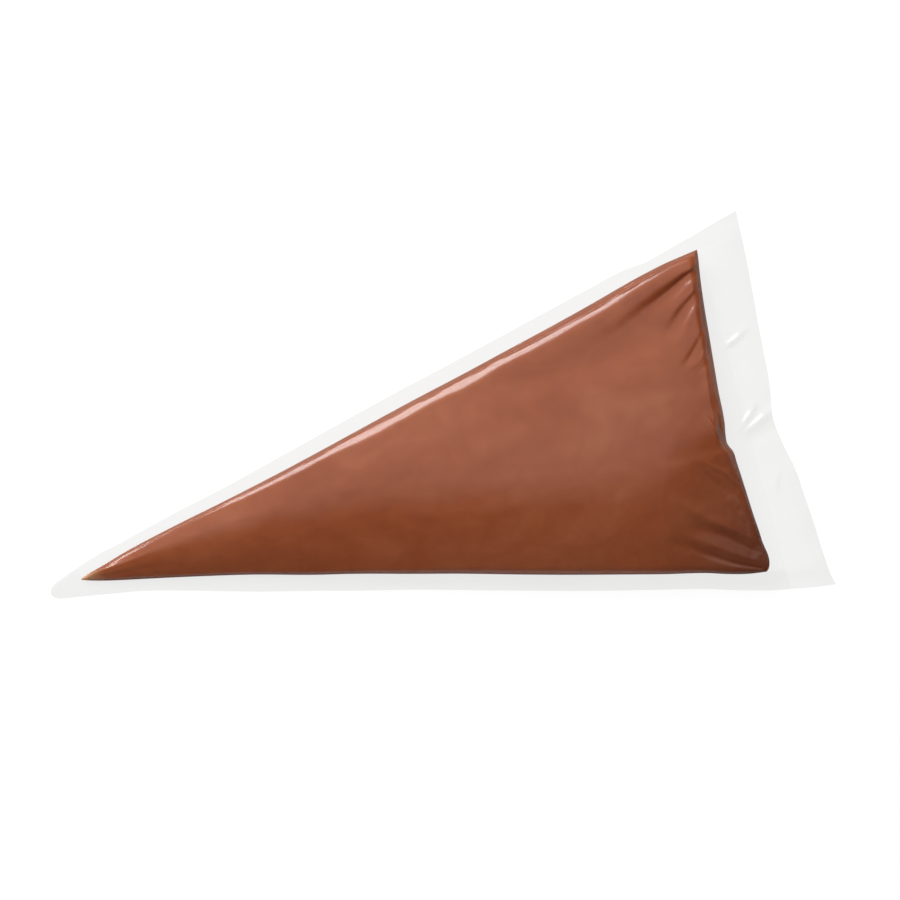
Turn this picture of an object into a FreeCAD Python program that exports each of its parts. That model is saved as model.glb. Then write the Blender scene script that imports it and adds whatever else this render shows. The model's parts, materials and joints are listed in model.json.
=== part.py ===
"""Filled, sealed piping bag lying on a worktop: a long triangular pouch of clear film around a soft filling.

Millimetres, +Z up. The narrow tip points along -X and the wide mouth along +X; the bag is symmetric about the XZ plane.
The worktop is z = 0, and the origin is under the middle of the overall length.
Along the bag, s is the distance from the outer end of the tip, so s = x + BAG_LENGTH / 2.
"""

import FreeCAD
import Part

import math
import os

V = FreeCAD.Vector

# ---- driving dimensions, mm ----
BAG_LENGTH = 460.0           # outer end of the tip to the mouth's corners
FILM = 0.40                  # drawn thickness of one film
FILM_EDGE_AT_TIP = 2.71      # the long edges' half width, carried on to s = 0
FILM_EDGE_SLOPE = 0.2511     # the long edges' half width gained per mm of s
MOUTH_CORNER_HALF = 116.8    # half width at the mouth's corners
MOUTH_BOW = 10.0             # how far the mouth's middle is drawn in

FILL_EDGE_ORIGIN = 15.25     # s where the welds' inner edges would cross
FILL_EDGE_SLOPE = 0.2436     # the filling's half width gained per mm of s
FILL_TIP = 20.0              # s of the filling's front end
FILL_REAR_MID = 419.5        # s of the filling's rear end on the centre line
FILL_REAR_SIDE = 427.5       # and at its corners
FOLD_GAP = 1.2               # clear slot that stands for the crease of a fold line
TIP_FOLD = 19.4              # s of the tip's crease
REAR_FOLD = 434.2            # s of the skirt's crease, the closing weld's outer edge

SEAM_TIP_Z = 2.0             # height of the seam at s = 0
SEAM_REAR_Z = 12.5           # and at s = BAG_LENGTH
CROWN = 22.8                 # the filling's greatest height over the seam
CROWN_AT = 370.0             # s where the crown is reached
REAR_ROUND = 75.0            # length over which the back end comes down to the seam
TIP_ROUND = 25.0             # and the front end
SAG = 1.6                    # the underside's depth as a share of the seam's height, before the worktop flattens it
GAP = 0.10                   # clearance between the filling and its films
FILL_INSET = 1.0             # and between the filling and the welds

SEAM_SLOPE = (SEAM_REAR_Z - SEAM_TIP_Z) / BAG_LENGTH


def seam_z(s):
    return SEAM_TIP_Z + SEAM_SLOPE * s


def film_half(s):
    return FILM_EDGE_AT_TIP + FILM_EDGE_SLOPE * s


def fill_half(s):
    return FILL_EDGE_SLOPE * (s - FILL_EDGE_ORIGIN)


def at(s, y, dz=0.0):
    """A point of the sloping seam plane, dz above it."""
    return V(s - BAG_LENGTH / 2, y, seam_z(s) + dz)


def bow(mid, side, half, y):
    """s of a rear edge that is drawn in by side - mid at its middle."""
    return mid + (side - mid) * (y / half) ** 2


def line(a, b):
    return Part.LineSegment(a, b).toShape()


def arc(a, m, b):
    return Part.Arc(a, m, b).toShape()


def prism(edges, up, dz=0.0):
    """Edges of a closed outline in the seam plane, carried straight up by up, starting dz above the plane."""
    wire = Part.Wire(Part.__sortEdges__(edges))
    face = Part.Face(wire)
    solid = face.extrude(V(0, 0, up))
    solid.translate(V(0, 0, dz))
    return solid


# ---- outlines in plan ----
def cross(edge_half, mid, bow_in, half_ref):
    """s and y where a long edge meets a bowed line across the bag."""
    s = mid
    for _ in range(60):
        s = mid + bow_in * (edge_half(s) / half_ref) ** 2
    return s, edge_half(s)


BOW = FILL_REAR_SIDE - FILL_REAR_MID
HALF_REF = fill_half(FILL_REAR_SIDE)
fs, fy = cross(fill_half, FILL_REAR_MID, BOW, HALF_REF)  # filling's rear corner
WELD_END = REAR_FOLD - FOLD_GAP / 2
SKIRT_START = REAR_FOLD + FOLD_GAP / 2

# the mouth's edge, and where the inner edges of the side welds reach it
mouth_mid = BAG_LENGTH - MOUTH_BOW
mouth_r = ((MOUTH_CORNER_HALF ** 2) + MOUTH_BOW ** 2) / (2 * MOUTH_BOW)


def mouth_s(y):
    return mouth_mid + mouth_r - math.sqrt(mouth_r ** 2 - y ** 2)


def inner_at_mouth():
    s = BAG_LENGTH - 3
    for _ in range(60):
        s = mouth_s(fill_half(s))
    return s, fill_half(s)


ms, my = inner_at_mouth()

# ---- welded bands: both films fused, twice the film's thickness ----
def side_weld(sign):
    p = [
        at(FILL_TIP, sign * fill_half(FILL_TIP)),
        at(FILL_TIP, sign * film_half(FILL_TIP)),
        at(WELD_END, sign * film_half(WELD_END)),
        at(WELD_END, sign * fill_half(WELD_END)),
    ]
    return prism([line(p[i], p[(i + 1) % 4]) for i in range(4)], 2 * FILM, -FILM)


def rear_weld():
    a, b = at(fs, -fy), at(fs, fy)
    half = fill_half(WELD_END)
    c, d = at(WELD_END, half), at(WELD_END, -half)
    return prism(
        [arc(a, at(FILL_REAR_MID, 0), b), line(b, c), line(c, d), line(d, a)],
        2 * FILM,
        -FILM,
    )


def tip_weld():
    """Rounded, welded end of the bag, in front of the crease at the filling's tip."""
    k = math.sqrt(1 + FILM_EDGE_SLOPE ** 2)
    r = FILM_EDGE_AT_TIP / (k - FILM_EDGE_SLOPE)       # the end's radius, touching both long edges
    ts, ty = r - r * FILM_EDGE_SLOPE / k, r / k        # where it touches them
    end = TIP_FOLD - FOLD_GAP / 2
    return prism(
        [
            arc(at(ts, -ty), at(0, 0), at(ts, ty)),
            line(at(ts, ty), at(end, film_half(end))),
            line(at(end, film_half(end)), at(end, -film_half(end))),
            line(at(end, -film_half(end)), at(ts, -ty)),
        ],
        2 * FILM,
        -FILM,
    )


# ---- loose skirt behind the closing weld: two films, joined only along their long edges ----
def skirt_film(dz):
    half = fill_half(SKIRT_START)
    return prism(
        [
            line(at(SKIRT_START, -half), at(SKIRT_START, half)),
            line(at(SKIRT_START, half), at(ms, my)),
            arc(at(ms, my), at(mouth_mid, 0), at(ms, -my)),
            line(at(ms, -my), at(SKIRT_START, -half)),
        ],
        FILM,
        dz,
    )


def skirt_weld(sign):
    ym = (my + MOUTH_CORNER_HALF) / 2
    inner, outer = fill_half(SKIRT_START), film_half(SKIRT_START)
    return prism(
        [
            line(at(SKIRT_START, sign * inner), at(SKIRT_START, sign * outer)),
            line(at(SKIRT_START, sign * outer), at(BAG_LENGTH, sign * MOUTH_CORNER_HALF)),
            arc(
                at(BAG_LENGTH, sign * MOUTH_CORNER_HALF),
                at(mouth_s(ym), sign * ym),
                at(ms, sign * my),
            ),
            line(at(ms, sign * my), at(SKIRT_START, sign * inner)),
        ],
        2 * FILM,
        -FILM,
    )


# ---- the filled pouch ----
def side_power(s):
    t = min(max((s - 40.0) / 170.0, 0.0), 1.0)
    return 2.2 + 1.8 * t * t * (3 - 2 * t)


def along(s):
    """Height along the centre line as a share of the crown, before the ends are rounded."""
    u = min(max((s - 17.0) / (CROWN_AT - 17.0), 1e-4), 1.0)
    return math.sin(math.pi / 2 * u) ** 0.6


def ends(s, y):
    """Rounds the front and back ends. It is 0 on the outline and below 0 outside it."""
    rear = (bow(FILL_REAR_MID, FILL_REAR_SIDE, HALF_REF, y) - s) / REAR_ROUND
    back = 1.0 - (1.0 - rear) ** 4 if rear < 1.0 else 1.0
    front = (s - FILL_TIP) / TIP_ROUND
    nose = 1.0 - (1.0 - front) ** 4 if front < 1.0 else 1.0
    return min(back, 1.0) * min(nose, 1.0) if (back > 0 and nose > 0) else min(back, nose)


def share(s, tau):
    y = tau * fill_half(s)
    cross_section = 1.0 - abs(tau) ** side_power(s)
    e = ends(s, y)
    return cross_section * e if (cross_section > 0 and e > 0) else min(cross_section, e)


def surface(height):
    """Smooth surface over the filling's outline and a little past it; height(s, share) is z."""
    n_s, n_t = 72, 35
    grid = []
    for i in range(n_s):
        a = i / (n_s - 1)
        # closer together at both ends
        b = 0.5 - 0.5 * math.cos(math.pi * a)
        c = 0.55 * a + 0.45 * b
        s = 19.2 + (432.0 - 19.2) * c
        row = []
        for j in range(n_t):
            q = -1.0 + 2.0 * j / (n_t - 1)
            tau = 1.05 * math.sin(math.pi / 2 * q) * 0.55 + 1.05 * q * 0.45
            row.append(V(s - BAG_LENGTH / 2, tau * fill_half(s), height(s, share(s, tau))))
        grid.append(row)
    spline = Part.BSplineSurface()
    spline.interpolate(grid)
    return spline.toShape()


def pouch_outline(inset=0.0):
    """The pouch's inside in plan, or the same outline drawn in all round."""
    side = inset * math.sqrt(1 + FILL_EDGE_SLOPE ** 2)
    s0 = FILL_TIP + inset
    y0 = fill_half(s0) - (side if inset < 0.5 else 0.4)
    rs, ry = cross(lambda s: fill_half(s) - side, FILL_REAR_MID - inset, BOW, HALF_REF)
    s1 = s0 + (8.0 if inset else 0.0)
    y1 = fill_half(s1) - side
    nose = [line(at(s0, -y0), at(s0, y0))]
    if inset:
        nose += [line(at(s0, y0), at(s1, y1)), line(at(s1, -y1), at(s0, -y0))]
    else:
        y1 = y0
    return nose + [
        line(at(s1, y1), at(rs, ry)),
        arc(at(rs, ry), at(FILL_REAR_MID - inset, 0), at(rs, -ry)),
        line(at(rs, -ry), at(s1, -y1)),
    ]


def pouch():
    """Upper film, lower film and filling."""
    top = surface(lambda s, k: seam_z(s) + CROWN * along(s) * k)
    # the lower film's outer face, which would dip under the worktop if that weren't there
    low = surface(lambda s, k: seam_z(s) - FILM - SAG * seam_z(s) * k)
    walls = prism(pouch_outline(), 120.0, -60.0)
    table = Part.makeBox(600, 400, 200, V(-300, -200, 0))

    upper = top.extrude(V(0, 0, FILM)).common(walls)

    above = low.extrude(V(0, 0, 60)).common(table)
    raised = above.copy()
    raised.translate(V(0, 0, FILM))
    lower = above.common(walls).cut(raised)

    over = top.extrude(V(0, 0, 90))
    over.translate(V(0, 0, -GAP))
    under = low.extrude(V(0, 0, -90))
    under.translate(V(0, 0, FILM + GAP))
    ground = Part.makeBox(600, 400, 200, V(-300, -200, FILM + GAP - 200))
    block = prism(pouch_outline(FILL_INSET), 90.0, -30.0)
    filling = block.cut(over).cut(under).cut(ground)
    return upper, lower, filling


def one(shape, name):
    solids = [s for s in shape.Solids if s.Volume > 1.0]
    if len(solids) != 1:
        raise SystemExit("%s came out as %d solids" % (name, len(solids)))
    s = solids[0]
    if not s.isValid():
        raise SystemExit("%s isn't valid" % name)
    return s


def main():
    os.makedirs("parts", exist_ok=True)
    upper, lower, filling = pouch()
    nodes = {
        "upper_film_panel": upper,
        "lower_film_panel": lower,
        "filling": filling,
        "side_weld_left": side_weld(1),
        "side_weld_right": side_weld(-1),
        "closing_weld": rear_weld(),
        "tip_weld": tip_weld(),
        "skirt_upper_film": skirt_film(0.0),
        "skirt_lower_film": skirt_film(-FILM),
        "skirt_side_weld_left": skirt_weld(1),
        "skirt_side_weld_right": skirt_weld(-1),
    }
    for name, shape in nodes.items():
        solid = one(shape, name)
        solid.exportStep("parts/%s.step" % name)
        b = solid.BoundBox
        print(
            "%-22s %9.1f mm3  x %.2f..%.2f  y %.2f..%.2f  z %.2f..%.2f"
            % (name, solid.Volume, b.XMin, b.XMax, b.YMin, b.YMax, b.ZMin, b.ZMax)
        )
    # both creases turn about the welds' upper face
    print("tip crease x %.2f z %.3f" % (TIP_FOLD - BAG_LENGTH / 2, seam_z(TIP_FOLD) + FILM))
    print("rear crease x %.2f z %.3f" % (REAR_FOLD - BAG_LENGTH / 2, seam_z(REAR_FOLD) + FILM))


main()
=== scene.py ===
"""Looks of the filled piping bag: cream in a long triangular pouch of clear film, lying on a pale worktop.

Work inside the pouch is done in millimetres on the bag's own plan: s is the distance from the film's tip along
the bag, v the distance across it (towards +Y), and h the height over the seam between the two films.
"""

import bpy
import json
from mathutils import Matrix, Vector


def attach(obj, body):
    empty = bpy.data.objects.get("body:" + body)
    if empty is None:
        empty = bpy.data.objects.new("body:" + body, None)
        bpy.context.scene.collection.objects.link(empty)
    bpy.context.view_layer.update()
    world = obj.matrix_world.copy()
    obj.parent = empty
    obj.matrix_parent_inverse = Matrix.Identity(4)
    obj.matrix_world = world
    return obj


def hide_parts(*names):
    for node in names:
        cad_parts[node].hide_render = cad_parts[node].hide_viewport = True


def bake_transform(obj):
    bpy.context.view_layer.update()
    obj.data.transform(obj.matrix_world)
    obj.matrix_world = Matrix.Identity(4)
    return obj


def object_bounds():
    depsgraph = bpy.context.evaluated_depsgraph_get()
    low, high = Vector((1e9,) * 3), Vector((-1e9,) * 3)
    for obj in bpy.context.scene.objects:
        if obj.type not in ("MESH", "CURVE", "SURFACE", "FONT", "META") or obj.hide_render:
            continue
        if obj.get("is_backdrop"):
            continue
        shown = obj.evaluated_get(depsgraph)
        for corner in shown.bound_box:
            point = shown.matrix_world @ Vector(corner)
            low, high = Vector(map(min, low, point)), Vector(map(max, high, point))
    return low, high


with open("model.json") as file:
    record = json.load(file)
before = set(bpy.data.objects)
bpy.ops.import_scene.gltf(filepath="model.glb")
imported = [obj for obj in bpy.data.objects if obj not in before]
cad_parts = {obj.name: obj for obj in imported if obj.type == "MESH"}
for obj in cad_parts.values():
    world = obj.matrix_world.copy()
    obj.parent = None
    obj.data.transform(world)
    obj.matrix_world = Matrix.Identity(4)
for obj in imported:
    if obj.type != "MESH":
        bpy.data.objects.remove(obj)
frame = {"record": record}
CAD_BOX = [list(map(float, p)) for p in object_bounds()]

import json
import math

import bpy
import numpy as np
from mathutils import Vector

MM = 0.001
HALF_LENGTH = 230.0

# the seam between the films rises from the tip to the mouth: the two creases' axes lie in the welds' upper face
JOINTS = {j["name"]: j for j in frame["record"]["behaviour"]["joints"]}
TIP_X, _, TIP_Z = (c / MM for c in JOINTS["tip_fold"]["pos_m"])
REAR_X, _, REAR_Z = (c / MM for c in JOINTS["skirt_fold"]["pos_m"])
WELD_HALF = 0.4
TIP_FOLD, REAR_FOLD = TIP_X + HALF_LENGTH, REAR_X + HALF_LENGTH

TIP_END = 20.0      # where the empty tip begins, just behind its crease
SKIRT = 432.6       # where the skirt begins, just in front of its crease
FILM_GAP = 0.16     # film over the cream
FLOOR_Z = 0.0

rng = np.random.default_rng(7)


def seam(s):
    a, b = TIP_Z - WELD_HALF, REAR_Z - WELD_HALF
    return a + (b - a) * (s - TIP_FOLD) / (REAR_FOLD - TIP_FOLD)


# ---------------------------------------------------------------- outline
# s, left edge's v, right edge's v
FILM = np.array([
    (12.1, 9.8, -3.9), (24.1, 14.0, -5.9), (36.2, 17.7, -8.0), (48.2, 20.1, -10.0), (60.3, 23.1, -12.6),
    (84.4, 28.9, -19.2), (120.6, 36.7, -29.5), (156.8, 45.6, -38.8), (180.9, 51.6, -45.2), (217.1, 60.5, -54.4),
    (241.2, 66.2, -61.2), (277.4, 74.4, -71.3), (301.5, 80.1, -78.0), (337.7, 88.7, -87.4), (361.8, 94.3, -93.4),
    (385.9, 99.7, -99.6), (398.0, 100.7, -103.5), (410.0, 103.5, -106.9), (422.1, 106.7, -110.2),
    (434.2, 109.7, -112.4), (446.2, 113.2, -114.8), (460.1, 116.7, -116.7),
])
FILL = np.array([
    (20.5, 5.8, 4.8), (24.1, 7.1, 3.5), (36.2, 10.3, 0.2), (48.2, 13.8, -2.5), (60.3, 16.8, -5.1),
    (84.4, 22.0, -10.4), (120.6, 29.2, -18.9), (156.8, 37.0, -28.8), (180.9, 42.6, -34.7), (217.1, 51.3, -44.5),
    (241.2, 57.0, -50.9), (277.4, 65.1, -61.2), (301.5, 70.8, -67.9), (337.7, 79.3, -77.5), (361.8, 85.3, -83.8),
    (385.9, 91.7, -89.6), (398.0, 94.6, -93.5), (410.0, 97.1, -96.6), (422.1, 98.9, -98.4), (434.2, 100.6, -100.1),
])
# v, s of the rear edges
FILL_REAR = np.array([
    (-98.9, 420.3), (-96.5, 423.0), (-78.4, 423.3), (-60.3, 422.3), (-42.2, 421.6), (-30.1, 421.0), (-22.9, 420.6),
    (-18.1, 418.5), (-12.1, 418.8), (-6.0, 420.0), (0.0, 420.7), (12.1, 421.4), (30.1, 423.1), (48.2, 424.9),
    (66.3, 426.7), (84.4, 429.0), (94.1, 430.6), (98.9, 431.2),
])
FILM_REAR = np.array([
    (-116.7, 460.1), (-114.6, 459.2), (-96.5, 457.2), (-78.4, 456.5), (-60.3, 455.3), (-42.2, 454.0), (-30.1, 451.5),
    (-18.1, 449.6), (-12.1, 449.1), (-6.0, 449.4), (0.0, 450.6), (12.1, 452.6), (30.1, 454.1), (48.2, 455.5),
    (66.3, 457.1), (84.4, 458.6), (96.5, 459.3), (116.7, 460.4),
])


def curve(xs, ys):
    """Smooth curve through points, a cubic between each two of them, straight beyond the ends."""
    xs, ys = np.asarray(xs, float), np.asarray(ys, float)
    slope = np.diff(ys) / np.diff(xs)
    m = np.empty_like(ys)
    m[0], m[-1] = slope[0], slope[-1]
    m[1:-1] = (slope[:-1] + slope[1:]) / 2

    def at(x):
        x = np.asarray(x, float)
        c = np.clip(x, xs[0], xs[-1])
        i = np.clip(np.searchsorted(xs, c) - 1, 0, len(xs) - 2)
        d = xs[i + 1] - xs[i]
        t = (c - xs[i]) / d
        y = (
            (2 * t**3 - 3 * t**2 + 1) * ys[i]
            + (t**3 - 2 * t**2 + t) * d * m[i]
            + (-2 * t**3 + 3 * t**2) * ys[i + 1]
            + (t**3 - t**2) * d * m[i + 1]
        )
        return y + np.where(x < xs[0], (x - xs[0]) * m[0], 0) + np.where(x > xs[-1], (x - xs[-1]) * m[-1], 0)

    return at


film_left, film_right = curve(FILM[:, 0], FILM[:, 1]), curve(FILM[:, 0], FILM[:, 2])
fill_left, fill_right = curve(FILL[:, 0], FILL[:, 1]), curve(FILL[:, 0], FILL[:, 2])
fill_rear, film_rear = curve(*FILL_REAR.T), curve(*FILM_REAR.T)


# ---------------------------------------------------------------- noise
def noise(x, y, scale, seed):
    """Smooth value noise, about -1 to 1, with bumps about `scale` apart."""
    g = np.random.default_rng(seed).uniform(-1, 1, (64, 64))
    x, y = np.asarray(x) / scale, np.asarray(y) / scale
    i, j = np.floor(x).astype(int), np.floor(y).astype(int)
    a, b = x - i, y - j
    a, b = a * a * a * (a * (6 * a - 15) + 10), b * b * b * (b * (6 * b - 15) + 10)
    p = lambda di, dj: g[(i + di) % 64, (j + dj) % 64]
    return (p(0, 0) * (1 - a) + p(1, 0) * a) * (1 - b) + (p(0, 1) * (1 - a) + p(1, 1) * a) * b


def smooth(x, lo, hi):
    """0 at lo, 1 at hi, level at both; lo may be the larger."""
    t = np.clip((x - lo) / (hi - lo), 0, 1)
    return t * t * (3 - 2 * t)


# ---------------------------------------------------------------- creases pressed into film and cream
# points (s, v), half widths and heights along the line, all mm; crests stand up, valleys are pressed in
CREASES = [
    # upper rear corner: folds that fan out from it
    ([(428.6, 89.6), (417.9, 85.2), (409.1, 80.8), (400.5, 76.8), (392.0, 73.2), (383.1, 68.7), (372.3, 64.0), (356.0, 59.5),
      (336.0, 54.5), (310.0, 48.5), (284.0, 42.0)],
     (0.9, 2.0, 2.9, 3.6, 4.2, 5.0, 6.0, 7.0, 7.0, 7.0, 7.0), (-0.8, -1.9, -2.2, -2.1, -1.8, -1.5, -1.1, -0.7, -0.5, -0.3, 0), 3.0),
    ([(428.2, 85.2), (420.7, 80.5), (412.8, 75.9), (404.9, 71.4), (396.5, 65.1), (388.1, 58.7)],
     (0.8, 1.6, 2.4, 3.0, 3.8, 4.6), (0.1, 0.15, 0.15, 0.12, 0.08, 0), 1.0),
    ([(426.7, 77.9), (419.5, 72.2), (412.2, 66.6), (405.8, 60.6), (400.5, 55.4), (393.0, 48.8)],
     (1.0, 1.9, 2.7, 3.2, 3.6, 4.2), (-0.4, -1.1, -1.4, -1.1, -0.5, 0), 2.2),
    ([(427.1, 74.0), (421.6, 67.8), (415.4, 60.9), (409.7, 53.8), (404.2, 47.7)],
     (0.8, 1.3, 1.8, 2.3, 2.8), (0.12, 0.25, 0.3, 0.2, 0), 1.0),
    ([(424.3, 56.6), (417.4, 47.0), (408.3, 38.0), (402.6, 34.7)], (0.9, 1.5, 1.5, 1.2), (-0.3, -0.6, -0.5, -0.1), 1.4),
    ([(423.5, 48.2), (419.5, 40.7), (414.7, 35.3), (406.7, 32.2)], (0.7, 1.0, 1.0, 0.9), (0.15, 0.35, 0.3, 0.1), 1.0),
    ([(423.8, 44.3), (421.0, 37.4), (417.1, 31.8), (410.6, 28.7)], (0.6, 0.9, 1.0, 0.9), (-0.2, -0.45, -0.4, 0), 1.3),
    ([(318.0, 47.0), (345.0, 50.0), (370.0, 53.0), (395.0, 57.0), (408.0, 62.0)],
     (9.0, 10.5, 11.0, 9.0, 6.0), (-0.2, -1.0, -1.5, -1.2, -0.3), 1.0),
    # crumples along the rear edge
    ([(423.0, 44.5), (422.0, 34.1), (420.4, 19.4), (419.6, 12.3)], (0.5, 0.7, 0.8, 0.6), (0.2, 0.4, 0.5, 0.2), 1.0),
    ([(419.9, 32.3), (417.5, 17.3), (416.2, 7.1), (416.6, -3.5)], (0.8, 1.1, 1.2, 0.9), (-0.2, -0.5, -0.6, -0.3), 1.0),
    ([(420.2, 16.6), (419.2, 9.7), (417.9, 2.2), (418.8, -4.8)], (0.5, 0.8, 0.8, 0.6), (0.2, 0.7, 0.7, 0.2), 1.0),
    # the pinch in the rear edge and the folds round it
    ([(416.4, 2.1), (415.6, -4.1), (415.6, -9.7), (416.4, -14.0), (418.0, -17.2)], (0.8, 1.2, 1.7, 1.7, 1.2), (-0.3, -1.2, -2.4, -2.6, -1.4), 1.0),
    ([(404.0, 9.0), (408.2, 3.2), (410.7, -0.6), (412.4, -7.2), (414.3, -12.0), (417.6, -17.6), (420.2, -21.4)],
     (0.8, 0.9, 0.9, 0.9, 0.9, 0.8, 0.7), (0, 0.2, 0.45, 0.8, 1.1, 1.0, 0.5), 1.0),
    ([(400.6, -23.3), (405.6, -28.6), (410.5, -32.4), (414.9, -38.6), (418.6, -45.1)],
     (0.8, 1.1, 1.2, 1.1, 0.9), (0.1, 0.5, 0.6, 0.55, 0.2), 1.0),
    ([(392.4, -22.6), (396.4, -25.6), (400.5, -32.7), (405.5, -40.0), (409.6, -47.1)], (1.8, 2.2, 2.8, 3.0, 2.6), (0, -0.4, -0.9, -0.9, -0.3), 1.0),
    ([(414.5, -49.0), (416.7, -54.0), (419.2, -59.2)], (0.8, 1.0, 0.8), (0.1, 0.45, 0.2), 1.0),
    ([(409.0, -52.0), (413.0, -58.0), (417.6, -66.0)], (1.2, 1.6, 1.2), (-0.1, -0.4, -0.2), 1.0),
    # lower rear corner: soft folds that run into it
    ([(374.0, -40.0), (382.7, -46.8), (397.2, -59.7), (407.1, -67.4), (416.0, -74.8), (422.4, -82.1)],
     (5.0, 4.2, 3.2, 2.6, 1.8, 1.0), (0, 0.55, 0.95, 0.85, 0.5, 0.1), 1.0),
    ([(383.7, -58.0), (390.3, -62.8), (400.4, -70.0), (410.1, -78.2), (419.6, -85.8)],
     (4.2, 3.6, 2.9, 2.2, 1.3), (0, -0.7, -1.0, -0.85, -0.4), 1.0),
    ([(376.6, -62.1), (384.9, -68.3), (396.6, -76.5), (408.4, -84.7), (420.0, -91.4)],
     (3.6, 3.0, 2.3, 1.8, 1.0), (0, 0.45, 0.55, 0.4, 0.1), 1.0),
    ([(366.3, -63.3), (379.9, -72.0), (391.6, -80.1), (404.3, -88.5), (418.4, -95.2)],
     (3.4, 2.8, 2.1, 1.5, 0.9), (0, -0.6, -0.8, -0.7, -0.3), 1.0),
    # where the filling runs out in the tip
    ([(24.0, 7.4), (34.0, 7.6), (52.0, 8.6), (74.0, 11.5)], (0.7, 1.1, 1.4, 1.8), (0.1, 0.25, 0.2, 0), 1.0),
    ([(28.0, 4.9), (40.0, 3.0), (60.0, 1.6), (88.0, -0.5)], (0.7, 1.3, 1.8, 2.4), (-0.1, -0.25, -0.2, 0), 1.0),
]
# the double fold that follows the upper left edge: distances in from the edge along the bag, then half widths and heights
RIM_S = [46.0, 85.0, 126.0, 166.0, 203.0, 240.0, 266.0, 286.0, 315.0, 334.0, 353.0, 372.0, 390.0, 408.0, 420.0]
RIM_IN = [0.7, 0.8, 0.9, 1.1, 1.4, 1.7, 1.8, 1.8, 1.9, 2.0, 2.1, 2.1, 2.0, 1.7, 1.2]
RIM_W = [0.35, 0.40, 0.40, 0.45, 0.50, 0.55, 0.55, 0.50, 0.50, 0.55, 0.60, 0.55, 0.50, 0.45, 0.4]
RIM_H = [0.10, 0.34, 0.48, 0.60, 0.70, 0.85, 0.90, 0.90, 0.95, 1.00, 1.05, 1.00, 0.80, 0.50, 0.2]


def line_field(s, v, points, half_widths, heights, skew=1.0):
    """A ridge or valley along a line of points: height falls off to both sides as a bell, skew times as wide on
    the side of the lower right edge."""
    p = np.asarray(points, float)
    n = len(p)
    u = np.linspace(0, n - 1, 8 * (n - 1) + 1)
    px, py = curve(np.arange(n), p[:, 0])(u), curve(np.arange(n), p[:, 1])(u)
    w = np.interp(u, np.linspace(0, n - 1, len(half_widths)), half_widths)
    a = np.interp(u, np.linspace(0, n - 1, len(heights)), heights)
    reach = 3.2 * w.max() * max(skew, 1.0)
    near = (
        (s > px.min() - reach) & (s < px.max() + reach) & (v > py.min() - reach) & (v < py.max() + reach)
    )
    out = np.zeros_like(s)
    if not near.any():
        return out
    x, y = s[near], v[near]
    best = np.full(x.shape, 1e9)
    ww, aa, side = np.ones_like(x), np.zeros_like(x), np.ones_like(x)
    for i in range(len(u) - 1):
        dx, dy = px[i + 1] - px[i], py[i + 1] - py[i]
        t = np.clip(((x - px[i]) * dx + (y - py[i]) * dy) / (dx * dx + dy * dy), 0, 1)
        d = np.hypot(x - px[i] - t * dx, y - py[i] - t * dy)
        hit = d < best
        best = np.where(hit, d, best)
        ww = np.where(hit, w[i] + (w[i + 1] - w[i]) * t, ww)
        aa = np.where(hit, a[i] + (a[i + 1] - a[i]) * t, aa)
        below = (dy * (x - px[i]) - dx * (y - py[i])) * np.sign(-dx if abs(dx) > 1e-9 else 1.0) < 0
        side = np.where(hit, np.where(below, skew, 1.0), side)
    out[near] = aa * np.exp(-((best / (ww * side)) ** 2))
    return out


# ---------------------------------------------------------------- the pouch's two surfaces
CROWN, CROWN_AT = 22.8, 370.0
SAG = 1.6


def spine(s):
    """Crown over the seam along the middle of the bag. It thins out again towards the closing weld."""
    u = np.clip((s - 17.0) / (350.0 - 17.0), 1e-4, 1.0)
    return CROWN * np.sin(np.pi / 2 * u) ** 0.62 * (1 - 0.24 * smooth(s, 335.0, 428.0))


def round_off(d, length, power):
    return 1 - (1 - np.clip(d / length, 0, 1)) ** power


def round_edge(d, radius):
    """A quarter circle: upright at the edge, level from one radius inwards."""
    return np.sqrt(np.clip(1 - (1 - np.clip(d / radius, 0, 1)) ** 2, 0, 1))


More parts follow.
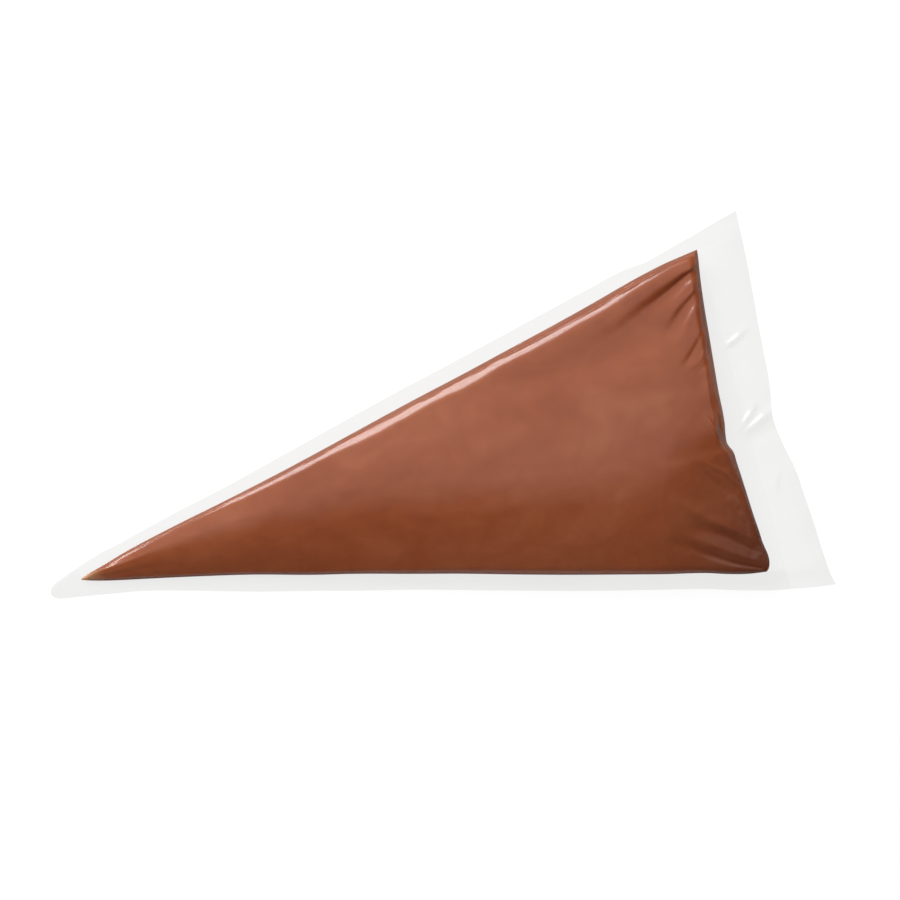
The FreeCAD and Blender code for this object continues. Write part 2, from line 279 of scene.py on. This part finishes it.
def top_height(s, v):
    """Height of the cream's upper surface over the seam."""
    a, b = fill_left(s), fill_right(s)
    mid, half = (a + b) / 2, (a - b) / 2
    dl, dr = np.maximum(a - v, 0) * 0.97, np.maximum(v - b, 0) * 0.97
    # the crest lies left of the middle in the narrow part; from it the top runs level to a slanting left shoulder
    # over a round side, and falls in a long slope, steeper and steeper, to the right edge
    crest = 0.42 * smooth(s, 330.0, 150.0)
    q = (v - mid) / np.maximum(half, 0.5)
    xl = np.clip((1 - q) / (1 - crest), 0, 1)
    wide = smooth(s, 70.0, 260.0)
    r = np.minimum(1.0 + 2.3 * wide, 0.3 * half)
    bevel = np.minimum(3.0 + 7.0 * wide, 0.7 * half)
    bevel = bevel * (1 + 0.10 * noise(s, s * 0, 23.0, 15))
    slant = np.minimum((0.28 + 0.09 * wide) * bevel * (1 - 0.12 * smooth(s, 320.0, 410.0)) / np.maximum(spine(s), 2.0), 0.4)
    level = 0.12 + 0.16 * smooth(s, 150.0, 330.0)
    left = (1 - level - slant) * round_edge(dl, r) + slant * round_off(dl, bevel, 2.0) + level * round_off(xl, 1.0, 1.5)
    xr = np.clip((1 + q) / (1 + crest), 0, 1)
    r = np.minimum(2.0 + 3.4 * smooth(s, 60.0, 330.0), 0.2 * half)
    knee = 0.88 + 0.12 * smooth(s, 300.0, 120.0)
    right = 0.04 * (1 - np.exp(-dr / 0.30)) + 0.14 * round_edge(dr, r) + 0.82 * round_off(xr, knee, 1.75)
    across = np.where(q > crest, left, right)
    rear = fill_rear(v) - s
    low = smooth(v, -2.0, -50.0)
    back = (
        0.13 * (1 - np.exp(-np.maximum(rear, 0) / 0.30))
        + (0.71 - 0.54 * low) * round_edge(rear, 7.0 + 1.5 * low)
        + (0.16 + 0.54 * low) * round_off(rear, 36.0 + 18.0 * low, 1.7)
    )
    front = round_off(s - TIP_END + 0.4, 20.0, 3.0)
    h = spine(s) * across * back * front

    # creases
    for points, w, k, skew in CREASES:
        h = h + line_field(s, v, points, w, k, skew)
    d = curve(RIM_S, RIM_IN)(s) + 0.16 * noise(s, s * 0, 27.0, 8) + 0.22 * smooth(s, 250.0, 340.0) * noise(s, s * 0, 9.0, 9)
    wide, deep = curve(RIM_S, RIM_W)(s), curve(RIM_S, RIM_H)(s)
    deep = np.clip(deep, 0, 1.1) * (1 + 0.5 * noise(s, s * 0, 11.0, 10)) * smooth(s, 30.0, 60.0) * smooth(s, 425.0, 412.0)
    h = h - deep * np.exp(-(((dl - d) / wide) ** 2)) + 0.4 * deep * np.exp(-(((dl - d - 2.0 * wide) / (1.2 * wide)) ** 2))

    # small crumples along the rear edge, where the film is drawn together
    crumple = 0.38 * noise(0.6 * s - 0.3 * v, v, 7.0, 51) + 0.18 * noise(s, v, 3.4, 52)
    h = h + crumple * np.exp(-((rear / 9.0) ** 2)) * (1 - np.exp(-np.maximum(rear, 0) / 1.6)) * smooth(np.minimum(dl, dr), 2.0, 12.0)

    # slight unevenness of the cream, less at the edges
    inner = smooth(np.minimum(np.minimum(dl, dr), np.maximum(rear, 0)), 0.0, 25.0)
    h = h + inner * (0.35 * noise(s, v, 46.0, 3) + 0.16 * noise(s + 9, v, 19.0, 4) + 0.05 * noise(s, v + 3, 8.0, 5))
    edge = smooth(np.minimum(np.minimum(dl, dr), np.maximum(rear, 0)), 0.0, 1.5)
    return np.maximum(h, 0) * edge


def bottom_z(s, v):
    """z of the cream's underside, flat where it rests."""
    a, b = fill_left(s), fill_right(s)
    mid, half = (a + b) / 2, (a - b) / 2
    tau = np.clip(np.abs(v - mid) / half, 0, 1)
    k = (1 - tau**4) * round_off(fill_rear(v) - s, 70.0, 4) * round_off(s - TIP_END + 0.4, 25.0, 4)
    z = seam(s) - SAG * seam(s) * k
    floor = 0.32
    # a soft corner where the underside meets the worktop
    return floor + np.where(z > floor + 1.5, z - floor, 1.5 * np.exp((z - floor - 1.5) / 1.5)) * smooth(z, -4.0, 1.0)


# ---------------------------------------------------------------- meshes
def spaced(n, edge):
    """n values from 0 to 1, closer together at both ends; edge is from 0, even, to 1."""
    a = np.linspace(0, 1, n)
    return (1 - edge) * a + edge * (0.5 - 0.5 * np.cos(np.pi * a))


def across_grid(t, q, s_start, s_end, left, right):
    """s and v of a grid that fits between two long edges and two ends. t runs along, q across, both 0 to 1."""
    t, q = np.meshgrid(t, q, indexing="ij")
    s = s_start + t * 0 + t * (430.0 - s_start)
    v = np.zeros_like(s)
    for _ in range(14):
        v = right(s) + q * (left(s) - right(s))
        s = s_start + t * (s_end(v) - s_start)
    return s, v


def quads(ni, nj, flip=False, base=0):
    i, j = np.meshgrid(np.arange(ni - 1), np.arange(nj - 1), indexing="ij")
    a = (i * nj + j).ravel() + base
    f = np.stack([a, a + nj, a + nj + 1, a + 1], 1)
    return f[:, ::-1] if flip else f


def build(name, points, faces, body=None):
    """A smooth mesh from points in mm on the bag's plan (s, v, z)."""
    p = np.asarray(points, float).copy()
    p[:, 0] -= HALF_LENGTH
    p *= MM
    me = bpy.data.meshes.new(name)
    me.from_pydata(p.tolist(), [], faces if isinstance(faces, list) else faces.tolist())
    me.validate()
    me.polygons.foreach_set("use_smooth", [True] * len(me.polygons))
    me.update()
    ob = bpy.data.objects.new(name, me)
    bpy.context.scene.collection.objects.link(ob)
    return ob


def sheet(name, s, v, z, flip=False):
    return build(name, np.stack([s.ravel(), v.ravel(), z.ravel()], 1), quads(*s.shape, flip=flip))


def paced(n, stops):
    """n values from 0 to 1 whose spacing follows stops: (place, spacing)."""
    x = np.linspace(0, 1, 4001)
    rate = 1 / np.interp(x, [p for p, _ in stops], [w for _, w in stops])
    k = np.concatenate([[0], np.cumsum((rate[1:] + rate[:-1]) / 2)])
    return np.interp(np.linspace(0, 1, n), k / k[-1], x)


# cream: upper and lower surface share their border, and the lower one is four times as coarse
NI, NJ, STEP = 397, 229, 4
T = paced(NI, [(0, 0.7), (0.05, 1.5), (0.75, 1.5), (0.84, 0.75), (0.93, 0.55), (0.98, 0.45), (1, 0.18)])
Q = paced(NJ, [(0, 0.15), (0.03, 0.6), (0.12, 1.1), (0.80, 1.1), (0.90, 0.6), (0.97, 0.35), (1, 0.12)])
S, V = across_grid(T, Q, TIP_END + 0.3, fill_rear, fill_left, fill_right)
TOP = seam(S) + top_height(S, V)
for edge in (np.s_[0, :], np.s_[-1, :], np.s_[:, 0], np.s_[:, -1]):
    TOP[edge] = seam(S[edge])

SB, VB = S[::STEP, ::STEP], V[::STEP, ::STEP]
LOW = np.minimum(bottom_z(SB, VB), TOP[::STEP, ::STEP] - 0.02)
top_id = np.arange(NI * NJ).reshape(NI, NJ)
low_id = top_id[::STEP, ::STEP].copy()
inner = np.zeros(low_id.shape, bool)
inner[1:-1, 1:-1] = True
low_id[inner] = NI * NJ + np.arange(inner.sum())
faces = quads(NI, NJ).tolist()
ni, nj = low_id.shape
for i in range(ni - 1):
    for j in range(nj - 1):
        a, b, c, d = low_id[i, j], low_id[i, j + 1], low_id[i + 1, j + 1], low_id[i + 1, j]
        I, J = i * STEP, j * STEP
        loop = [a]
        if i == 0:
            loop += list(top_id[0, J + 1:J + STEP])
        loop.append(b)
        if j == nj - 2:
            loop += list(top_id[I + 1:I + STEP, -1])
        loop.append(c)
        if i == ni - 2:
            loop += list(top_id[-1, J + 1:J + STEP][::-1])
        loop.append(d)
        if j == 0:
            loop += list(top_id[I + 1:I + STEP, 0][::-1])
        faces.append([int(k) for k in loop])
pts = np.concatenate([
    np.stack([S.ravel(), V.ravel(), TOP.ravel()], 1),
    np.stack([SB[inner], VB[inner], LOW[inner]], 1),
])
cream = build("cream_filling", pts, faces)


# ---------------------------------------------------------------- film
def film_ripple(s, v):
    """The film stands a little off the cream where it is creased."""
    h = np.zeros_like(s)
    for points, w, k, _ in CREASES:
        k = np.abs(np.asarray(k, float))
        h = h + line_field(s, v, points, tuple(0.6 * x for x in w), tuple(0.12 * k))
    return h


film_top = TOP + FILM_GAP + film_ripple(S, V)
for edge in (np.s_[0, :], np.s_[-1, :], np.s_[:, 0], np.s_[:, -1]):
    film_top[edge] = seam(S[edge]) + 0.06
upper = sheet("film_upper", S, V, film_top)

TI, QJ = spaced(150, 0.2), spaced(84, 0.55)
SL, VL = across_grid(TI, QJ, TIP_END + 0.3, fill_rear, fill_left, fill_right)
zl = np.maximum(bottom_z(SL, VL) - FILM_GAP, 0.08)
for edge in (np.s_[0, :], np.s_[-1, :], np.s_[:, 0], np.s_[:, -1]):
    zl[edge] = seam(SL[edge]) - 0.06
lower = sheet("film_lower", SL, VL, zl, flip=True)


def margin_z(s, v):
    """z of the fused margins: they ripple a little and hang down towards their outer edge."""
    a, b = fill_left(s), fill_right(s)
    out = np.maximum(np.maximum(v - a, b - v), 0.0)
    k = smooth(out, 0.0, 9.0)
    droop = -0.05 * seam(s) * k
    ripple = 0.16 * noise(s, v * 0.3, 17.0, 11) + 0.34 * noise(s, v * 0.3, 41.0, 12)
    return seam(s) + droop + ripple * k * smooth(seam(s), 1.5, 4.0)


# folds that run from the filling's rear edge to the mouth
SKIRT_FOLDS = [
    ([(421.0, -14.5), (427.5, -11.0), (435.0, -5.0), (442.0, 2.0)], (0.8, 1.5, 1.8, 1.4), (0.1, 1.4, 1.7, 0.1)),
    ([(426.0, -15.5), (434.0, -12.0), (442.0, -8.5), (450.5, -4.5)], (0.8, 1.6, 2.0, 2.4), (0.0, 1.4, 1.8, 0.5)),
    ([(423.0, -21.0), (434.0, -19.0), (450.0, -17.0)], (1.2, 2.6, 4.0), (-0.1, -0.5, -0.4)),
    ([(427.0, 37.5), (434.0, 40.0), (441.0, 43.0), (449.0, 47.0)], (0.8, 1.5, 1.5, 1.0), (0.1, 1.4, 1.4, 0.1)),
    ([(427.0, 61.0), (431.0, 63.5), (435.0, 67.0)], (0.9, 1.3, 0.9), (0.0, 0.5, 0.0)),
    ([(438.0, -55.0), (441.0, -47.0), (445.0, -40.0)], (1.2, 1.8, 1.2), (0.0, 0.5, 0.0)),
]


def skirt_shape(s, v, layer):
    """z behind the filling: the closing weld, then two loose films that part a little and hang down."""
    start = fill_rear(np.clip(v, -98, 98))
    out = np.maximum(s - start, 0.0)
    k = smooth(out, 0.0, 16.0)
    droop = -0.0030 * np.maximum(s - 424.0, 0) ** 2
    wave = 0.5 * np.sin(v / 15.0 + 0.8 * np.sin(v / 31.0)) * np.exp(-((v + 14) / 46.0) ** 2) + 0.3 * noise(s * 0.4, v, 29.0, 21)
    # the fold that runs out of the pinch to the mouth, and the one above it
    fold = np.zeros_like(s)
    for points, w, a in SKIRT_FOLDS:
        fold = fold + line_field(s, v, points, w, a)
    part = layer * (0.15 + 0.35 * smooth(s, SKIRT, 452.0) + 0.15 * noise(s, v, 15.0, 33 + int(layer > 0)))
    edge = smooth(np.minimum(fill_left(s) - v, v - fill_right(s)), -2.0, 6.0)
    lift = (wave * (0.6 + 0.4 * smooth(s, 424.0, 450.0)) + fold) * k
    return seam(s) + droop + lift * edge + part * edge * smooth(s, 428.0, SKIRT + 4.0)


def rear_z(s, v, layer=0.0):
    """z anywhere behind the filling, fused margins included."""
    a, b = fill_left(s), fill_right(s)
    out = np.maximum(np.maximum(v - a, b - v), 0.0)
    m = margin_z(s, v) - seam(s)
    return skirt_shape(s, np.clip(v, b, a), layer) + m * smooth(out, 0.0, 4.0)


def blend_rear(s, v):
    """Side margins: margin_z far in front, rear_z at the skirt."""
    w = smooth(s, 405.0, SKIRT - 1.0)
    return margin_z(s, v) * (1 - w) + rear_z(s, v) * w


# side margins, from the tip's crease to the skirt's
def margin(name, inner_edge, outer_edge, flip=False):
    t, q = spaced(330, 0.0), spaced(13, 0.3)
    s, v = across_grid(t, q, TIP_END + 0.3, lambda v: SKIRT + 0 * v, outer_edge, inner_edge)
    z = blend_rear(s, v)
    z[:, 0] = np.where(s[:, 0] < fill_rear(v[:, 0]), seam(s[:, 0]), z[:, 0])
    return sheet(name, s, v, z, flip)


weld_left = margin("weld_left", fill_left, film_left)
weld_right = margin("weld_right", fill_right, film_right, flip=True)

# closing weld, from the cream's rear edge to the crease
t, q = spaced(16, 0.0), spaced(210, 0.62)
tt, qq = np.meshgrid(t, q, indexing="ij")
ss = np.full_like(tt, 426.0)
for _ in range(12):
    vv = fill_right(ss) + qq * (fill_left(ss) - fill_right(ss))
    ss = fill_rear(vv) + tt * (SKIRT - fill_rear(vv))
zz = rear_z(ss, vv)
zz[0] = seam(ss[0])
weld_rear = sheet("weld_rear", ss, vv, zz)


def skirt_part(name, left, right, nq, layer):
    t, q = spaced(22, 0.0), spaced(nq, 0.3)
    s, v = across_grid(t, q, SKIRT, film_rear, left, right)
    return sheet(name, s, v, rear_z(s, v, layer))


skirt_upper = skirt_part("skirt_upper", fill_left, fill_right, 190, 1.0)
skirt_lower = skirt_part("skirt_lower", fill_left, fill_right, 190, -1.0)
skirt_left = skirt_part("skirt_weld_left_edge", film_left, fill_left, 12, 0.0)
skirt_right = skirt_part("skirt_weld_right_edge", fill_right, film_right, 12, 0.0)

# empty tip: rounded end, bent a little to one side
nt, nq = 40, 21
t, q = np.meshgrid(np.linspace(0, 1, nt), np.linspace(-1, 1, nq), indexing="ij")
s = (TIP_END + 0.3) * (1 - t) ** 1.25
mid = (film_left(s) + film_right(s)) / 2
half = (film_left(s) - film_right(s)) / 2
R = 5.4
half = half * np.sqrt(np.clip(1 - (1 - np.clip(s / R, 0, 1)) ** 2, 0.0004, 1))
v = mid + q * half
z = margin_z(s, v) * 0 + seam(s) - 0.25 * smooth(20.3 - s, 0, 20) + 0.18 * noise(s, v, 7.0, 41) * smooth(20.3 - s, 0.2, 6)
tip = sheet("tip_film", s, v, np.maximum(z, 0.35), flip=True)


# ---------------------------------------------------------------- materials
def nodes_of(name):
    m = bpy.data.materials.new(name)
    m.use_nodes = True
    nt = m.node_tree
    nt.nodes.clear()
    return m, nt, nt.nodes.new("ShaderNodeOutputMaterial")


def link(nt, a, b):
    nt.links.new(a, b)


def noise_node(nt, co, scale, detail=3.0, rough=0.5, distort=0.0):
    n = nt.nodes.new("ShaderNodeTexNoise")
    n.inputs["Scale"].default_value = scale
    n.inputs["Detail"].default_value = detail
    n.inputs["Roughness"].default_value = rough
    n.inputs["Distortion"].default_value = distort
    link(nt, co, n.inputs["Vector"])
    return n


def ramp(nt, fac, stops):
    r = nt.nodes.new("ShaderNodeValToRGB")
    r.color_ramp.elements[0].position, r.color_ramp.elements[0].color = stops[0][0], (*stops[0][1], 1)
    r.color_ramp.elements[1].position, r.color_ramp.elements[1].color = stops[-1][0], (*stops[-1][1], 1)
    for p, c in stops[1:-1]:
        r.color_ramp.elements.new(p).color = (*c, 1)
    link(nt, fac, r.inputs["Fac"])
    return r


def cream_material():
    m, nt, out = nodes_of("cocoa_cream")
    co = nt.nodes.new("ShaderNodeTexCoord").outputs["Object"]
    p = nt.nodes.new("ShaderNodeBsdfPrincipled")
    # clouds of slightly redder and slightly yellower cream, drawn out along the bag
    stretch = nt.nodes.new("ShaderNodeMapping")
    stretch.inputs["Scale"].default_value = (0.55, 1.0, 1.0)
    link(nt, co, stretch.inputs["Vector"])
    big = noise_node(nt, stretch.outputs["Vector"], 26.0, 4.0, 0.58, 0.8)
    col = ramp(nt, big.outputs["Fac"], [(0.32, CREAM_A), (0.50, CREAM_B), (0.68, CREAM_C)])
    fine = noise_node(nt, co, 120.0, 3.0, 0.6, 0.3)
    f = ramp(nt, fine.outputs["Fac"], [(0.34, (0.955, 0.945, 0.935)), (0.66, (1.04, 1.05, 1.06))])
    mix = nt.nodes.new("ShaderNodeMix")
    mix.data_type = "RGBA"
    mix.blend_type = "MULTIPLY"
    mix.inputs[0].default_value = 1.0
    link(nt, col.outputs["Color"], mix.inputs[6])
    link(nt, f.outputs["Color"], mix.inputs[7])
    # the thin smear at the very tip lets the pale worktop through
    sep = nt.nodes.new("ShaderNodeSeparateXYZ")
    link(nt, co, sep.inputs[0])
    near = nt.nodes.new("ShaderNodeMapRange")
    near.inputs["From Min"].default_value = (35.0 - HALF_LENGTH) * MM
    near.inputs["From Max"].default_value = (22.0 - HALF_LENGTH) * MM
    link(nt, sep.outputs["X"], near.inputs["Value"])
    thin = nt.nodes.new("ShaderNodeMix")
    thin.data_type = "RGBA"
    thin.inputs[7].default_value = (0.66, 0.34, 0.17, 1)
    link(nt, near.outputs["Result"], thin.inputs[0])
    link(nt, mix.outputs[2], thin.inputs[6])
    # painted shade: the cream is darkened towards the lower rear corner, where the film is drawn together
    away = nt.nodes.new("ShaderNodeVectorMath")
    away.operation = "DISTANCE"
    away.inputs[1].default_value = ((432.0 - HALF_LENGTH) * MM, -100.0 * MM, 0.015)
    link(nt, co, away.inputs[0])
    corner_shade_mask = nt.nodes.new("ShaderNodeMapRange")
    corner_shade_mask.interpolation_type = "SMOOTHSTEP"
    corner_shade_mask.inputs["From Min"].default_value = 0.095
    corner_shade_mask.inputs["From Max"].default_value = 0.008
    link(nt, away.outputs["Value"], corner_shade_mask.inputs["Value"])
    painted_corner_shade = nt.nodes.new("ShaderNodeMix")
    painted_corner_shade.data_type = "RGBA"
    painted_corner_shade.blend_type = "MULTIPLY"
    painted_corner_shade.inputs[7].default_value = (0.43, 0.39, 0.38, 1)
    link(nt, corner_shade_mask.outputs["Result"], painted_corner_shade.inputs[0])
    link(nt, thin.outputs[2], painted_corner_shade.inputs[6])
    # painted shade: the cream is darkened down its steep sides, the more the surface tilts from level
    tilt = nt.nodes.new("ShaderNodeSeparateXYZ")
    link(nt, nt.nodes.new("ShaderNodeTexCoord").outputs["Normal"], tilt.inputs[0])
    steep_shade_mask = nt.nodes.new("ShaderNodeMapRange")
    steep_shade_mask.interpolation_type = "SMOOTHSTEP"
    steep_shade_mask.inputs["From Min"].default_value = 0.88
    steep_shade_mask.inputs["From Max"].default_value = 0.35
    link(nt, tilt.outputs["Z"], steep_shade_mask.inputs["Value"])
    side = nt.nodes.new("ShaderNodeMix")
    side.data_type = "RGBA"
    side.blend_type = "MULTIPLY"
    side.inputs[7].default_value = (0.70, 0.72, 0.73, 1)
    link(nt, steep_shade_mask.outputs["Result"], side.inputs[0])
    link(nt, painted_corner_shade.outputs[2], side.inputs[6])
    # painted_side_shade: the side multiply above is painted shade on tilted faces
    link(nt, side.outputs[2], p.inputs["Base Color"])
    p.inputs["Roughness"].default_value = 0.55
    p.inputs["Specular IOR Level"].default_value = 0.04
    p.inputs["Subsurface Weight"].default_value = 0.08
    p.inputs["Subsurface Radius"].default_value = (1.0, 0.40, 0.22)
    p.inputs["Subsurface Scale"].default_value = 0.0025
    bump = nt.nodes.new("ShaderNodeBump")
    bump.inputs["Strength"].default_value = 0.3
    bump.inputs["Distance"].default_value = 0.0006
    b = noise_node(nt, co, 180.0, 3.0, 0.55, 0.3)
    link(nt, b.outputs["Fac"], bump.inputs["Height"])
    link(nt, bump.outputs["Normal"], p.inputs["Normal"])
    link(nt, p.outputs["BSDF"], out.inputs["Surface"])
    return m


CREAM_A, CREAM_B, CREAM_C = (0.348, 0.078, 0.023), (0.386, 0.093, 0.029), (0.424, 0.114, 0.041)


def film_material(name, tint, haze, haze_var, rough, bump_scale, bump_mm, edge=0.95):
    """Clear film: tinted transmission, a little haze, and a mirror-like sheen."""
    m, nt, out = nodes_of(name)
    co = nt.nodes.new("ShaderNodeTexCoord").outputs["Object"]
    clear = nt.nodes.new("ShaderNodeBsdfTransparent")
    clear.inputs["Color"].default_value = (*tint, 1)
    milk = nt.nodes.new("ShaderNodeBsdfPrincipled")
    milk.inputs["Base Color"].default_value = (0.86, 0.86, 0.85, 1)
    milk.inputs["Roughness"].default_value = 0.4
    gloss = nt.nodes.new("ShaderNodeBsdfGlossy")
    gloss.inputs["Color"].default_value = (1, 1, 1, 1)
    gloss.inputs["Roughness"].default_value = rough
    b = noise_node(nt, co, bump_scale, 3.0, 0.5, 0.4)
    bump = nt.nodes.new("ShaderNodeBump")
    bump.inputs["Strength"].default_value = 0.6
    bump.inputs["Distance"].default_value = bump_mm * MM
    link(nt, b.outputs["Fac"], bump.inputs["Height"])
    link(nt, bump.outputs["Normal"], gloss.inputs["Normal"])
    h = noise_node(nt, co, 30.0, 4.0, 0.6, 0.5)
    hz = nt.nodes.new("ShaderNodeMapRange")
    hz.inputs["To Min"].default_value = max(haze - haze_var, 0)
    hz.inputs["To Max"].default_value = haze + haze_var
    link(nt, h.outputs["Fac"], hz.inputs["Value"])
    body = nt.nodes.new("ShaderNodeMixShader")
    link(nt, hz.outputs["Result"], body.inputs["Fac"])
    link(nt, clear.outputs["BSDF"], body.inputs[1])
    link(nt, milk.outputs["BSDF"], body.inputs[2])
    # sheen of a thin sheet, the same from both sides
    face = nt.nodes.new("ShaderNodeLayerWeight")
    face.inputs["Blend"].default_value = 0.5
    link(nt, bump.outputs["Normal"], face.inputs["Normal"])
    p5 = nt.nodes.new("ShaderNodeMath")
    p5.operation = "POWER"
    p5.inputs[1].default_value = 5.0
    link(nt, face.outputs["Facing"], p5.inputs[0])
    fr = nt.nodes.new("ShaderNodeMath")
    fr.operation = "MULTIPLY_ADD"
    fr.inputs[1].default_value = edge
    fr.inputs[2].default_value = 0.045
    link(nt, p5.outputs[0], fr.inputs[0])
    top = nt.nodes.new("ShaderNodeMixShader")
    link(nt, fr.outputs[0], top.inputs["Fac"])
    link(nt, body.outputs["Shader"], top.inputs[1])
    link(nt, gloss.outputs["BSDF"], top.inputs[2])
    link(nt, top.outputs["Shader"], out.inputs["Surface"])
    return m


M_CREAM = cream_material()
M_FILM = film_material("clear_film_over_cream", (0.985, 0.985, 0.985), 0.006, 0.005, 0.19, 55.0, 0.16, edge=0.03)
M_LOOSE = film_material("clear_film_loose", (0.955, 0.956, 0.952), 0.03, 0.015, 0.15, 70.0, 0.30)
# the fused film comes in a paler and a darker tint: painted light and painted shade on the same film
M_FILM_DARKER = film_material("clear_film_darker_tint", (0.862, 0.863, 0.857), 0.05, 0.02, 0.16, 120.0, 0.20)

M_FILM_PALER = film_material("clear_film_paler_tint", (0.885, 0.886, 0.880), 0.04, 0.02, 0.16, 120.0, 0.20)

# the left margin, towards the lamp, takes the paler tint and the right margin the darker one: painted light and painted
# shade
for ob, m in (
    (cream, M_CREAM), (upper, M_FILM), (lower, M_FILM),
    (weld_left, M_FILM_PALER), (weld_right, M_FILM_DARKER), (weld_rear, M_FILM_PALER), (tip, M_FILM_DARKER),
    (skirt_upper, M_LOOSE), (skirt_lower, M_LOOSE), (skirt_left, M_FILM_PALER), (skirt_right, M_FILM_PALER),
):
    ob.data.materials.append(m)

# ---------------------------------------------------------------- what moves with what
for ob in (cream, upper, lower, weld_left, weld_right, weld_rear):
    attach(ob, "bag")

for ob in (skirt_upper, skirt_lower, skirt_left, skirt_right):
    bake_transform(ob)
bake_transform(tip)

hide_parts("filling")
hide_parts("upper_film_panel")
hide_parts("lower_film_panel")
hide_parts("side_weld_left")
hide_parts("side_weld_right")
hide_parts("closing_weld")
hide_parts("tip_weld")
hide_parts("skirt_upper_film")
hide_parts("skirt_lower_film")
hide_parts("skirt_side_weld_left")
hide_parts("skirt_side_weld_right")


# ---------------------------------------------------------------- floor, light, camera
scene = bpy.context.scene
scene.view_settings.view_transform = "Standard"
scene.view_settings.look = "None"
scene.view_settings.exposure = 0.0
scene.view_settings.gamma = 1.0

me = bpy.data.meshes.new("worktop")
me.from_pydata([(-4, -4, FLOOR_Z), (4, -4, FLOOR_Z), (4, 4, FLOOR_Z), (-4, 4, FLOOR_Z)], [], [(0, 1, 2, 3)])
worktop = bpy.data.objects.new("worktop", me)
scene.collection.objects.link(worktop)
m, nt, out = nodes_of("pale_worktop")
d = nt.nodes.new("ShaderNodeBsdfDiffuse")
d.inputs["Color"].default_value = (0.12, 0.12, 0.12, 1)
e = nt.nodes.new("ShaderNodeEmission")
e.inputs["Color"].default_value = (1, 1, 1, 1)
e.inputs["Strength"].default_value = 0.93
add = nt.nodes.new("ShaderNodeAddShader")
link(nt, d.outputs["BSDF"], add.inputs[0])
link(nt, e.outputs["Emission"], add.inputs[1])
link(nt, add.outputs["Shader"], out.inputs["Surface"])
me.materials.append(m)
worktop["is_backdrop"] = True

world = bpy.data.worlds.new("studio")
scene.world = world
world.use_nodes = True
wt = world.node_tree
bg = wt.nodes["Background"]
TURN = math.radians(15.157)      # the bag lies turned by this on the worktop, seen from above
CENTRE = (0.0260, 0.0225)        # what the view is centred on
RIGHT = (math.cos(TURN), -math.sin(TURN))
UP = (math.sin(TURN), math.cos(TURN))


def towards(away, up_angle):
    """Unit vector to a place in the studio: away is its direction in the view, (right, up)."""
    k = math.hypot(*away)
    e = math.radians(up_angle)
    x = (RIGHT[0] * away[0] + UP[0] * away[1]) / k
    y = (RIGHT[1] * away[0] + UP[1] * away[1]) / k
    return np.array([math.cos(e) * x, math.cos(e) * y, math.sin(e)])


# a dim room with pale walls at the horizon and a soft glow overhead
wco = wt.nodes.new("ShaderNodeTexCoord")
sep = wt.nodes.new("ShaderNodeSeparateXYZ")
wt.links.new(wco.outputs["Generated"], sep.inputs[0])
wr = wt.nodes.new("ShaderNodeValToRGB")
wr.color_ramp.interpolation = "EASE"
wr.color_ramp.elements[0].position, wr.color_ramp.elements[0].color = 0.03, (0.90, 0.90, 0.90, 1)
wr.color_ramp.elements[1].position, wr.color_ramp.elements[1].color = 0.46, (0.05, 0.05, 0.05, 1)
wr.color_ramp.elements.new(0.12).color = (0.24, 0.24, 0.24, 1)
wt.links.new(sep.outputs["Z"], wr.inputs["Fac"])
dot = wt.nodes.new("ShaderNodeVectorMath")
dot.operation = "DOT_PRODUCT"
dot.inputs[1].default_value = tuple(towards((-0.40, 0.92), 75.0))
wt.links.new(wco.outputs["Generated"], dot.inputs[0])
glow = wt.nodes.new("ShaderNodeValToRGB")
glow.color_ramp.interpolation = "EASE"
glow.color_ramp.elements[0].position, glow.color_ramp.elements[0].color = 0.72, (0, 0, 0, 1)
glow.color_ramp.elements[1].position, glow.color_ramp.elements[1].color = 0.985, (0.78, 0.78, 0.78, 1)
wt.links.new(dot.outputs["Value"], glow.inputs["Fac"])
room = wt.nodes.new("ShaderNodeMix")
room.data_type = "RGBA"
room.blend_type = "ADD"
room.inputs[0].default_value = 1.0
wt.links.new(wr.outputs["Color"], room.inputs[6])
wt.links.new(glow.outputs["Color"], room.inputs[7])
wt.links.new(room.outputs[2], bg.inputs["Color"])
bg.inputs["Strength"].default_value = 1.0


def lamp(name, away, up_angle, distance, size, power, colour=(1, 1, 1)):
    """A softbox. away is its direction in the view, (right, up); up_angle is its height over the worktop in degrees."""
    data = bpy.data.lights.new(name, "AREA")
    data.shape = "RECTANGLE"
    data.size, data.size_y = size
    data.energy = power
    data.color = colour
    ob = bpy.data.objects.new(name, data)
    d = towards(away, up_angle)
    ob.location = tuple(np.array([CENTRE[0], CENTRE[1], 0.0]) + d * distance)
    ob.rotation_euler = Vector(tuple(-d)).to_track_quat("-Z", "Y").to_euler()
    scene.collection.objects.link(ob)
    return ob


lamp("key", (-0.58, 0.81), 38.5, 2.2, (1.7, 0.95), 48)

cam = bpy.data.cameras.new("camera")
cam.sensor_width = 36.0
DIST = 2.6
cam.lens = 36.0 * DIST / 0.54266
camera = bpy.data.objects.new("camera", cam)
camera.location = (CENTRE[0], CENTRE[1], DIST + 0.012)
camera.rotation_euler = (0, 0, -TURN)
cam.clip_end = 50
scene.collection.objects.link(camera)
scene.camera = camera

bpy.context.view_layer.update()
{"cad": CAD_BOX, "visual": [list(map(float, p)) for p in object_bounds()]}
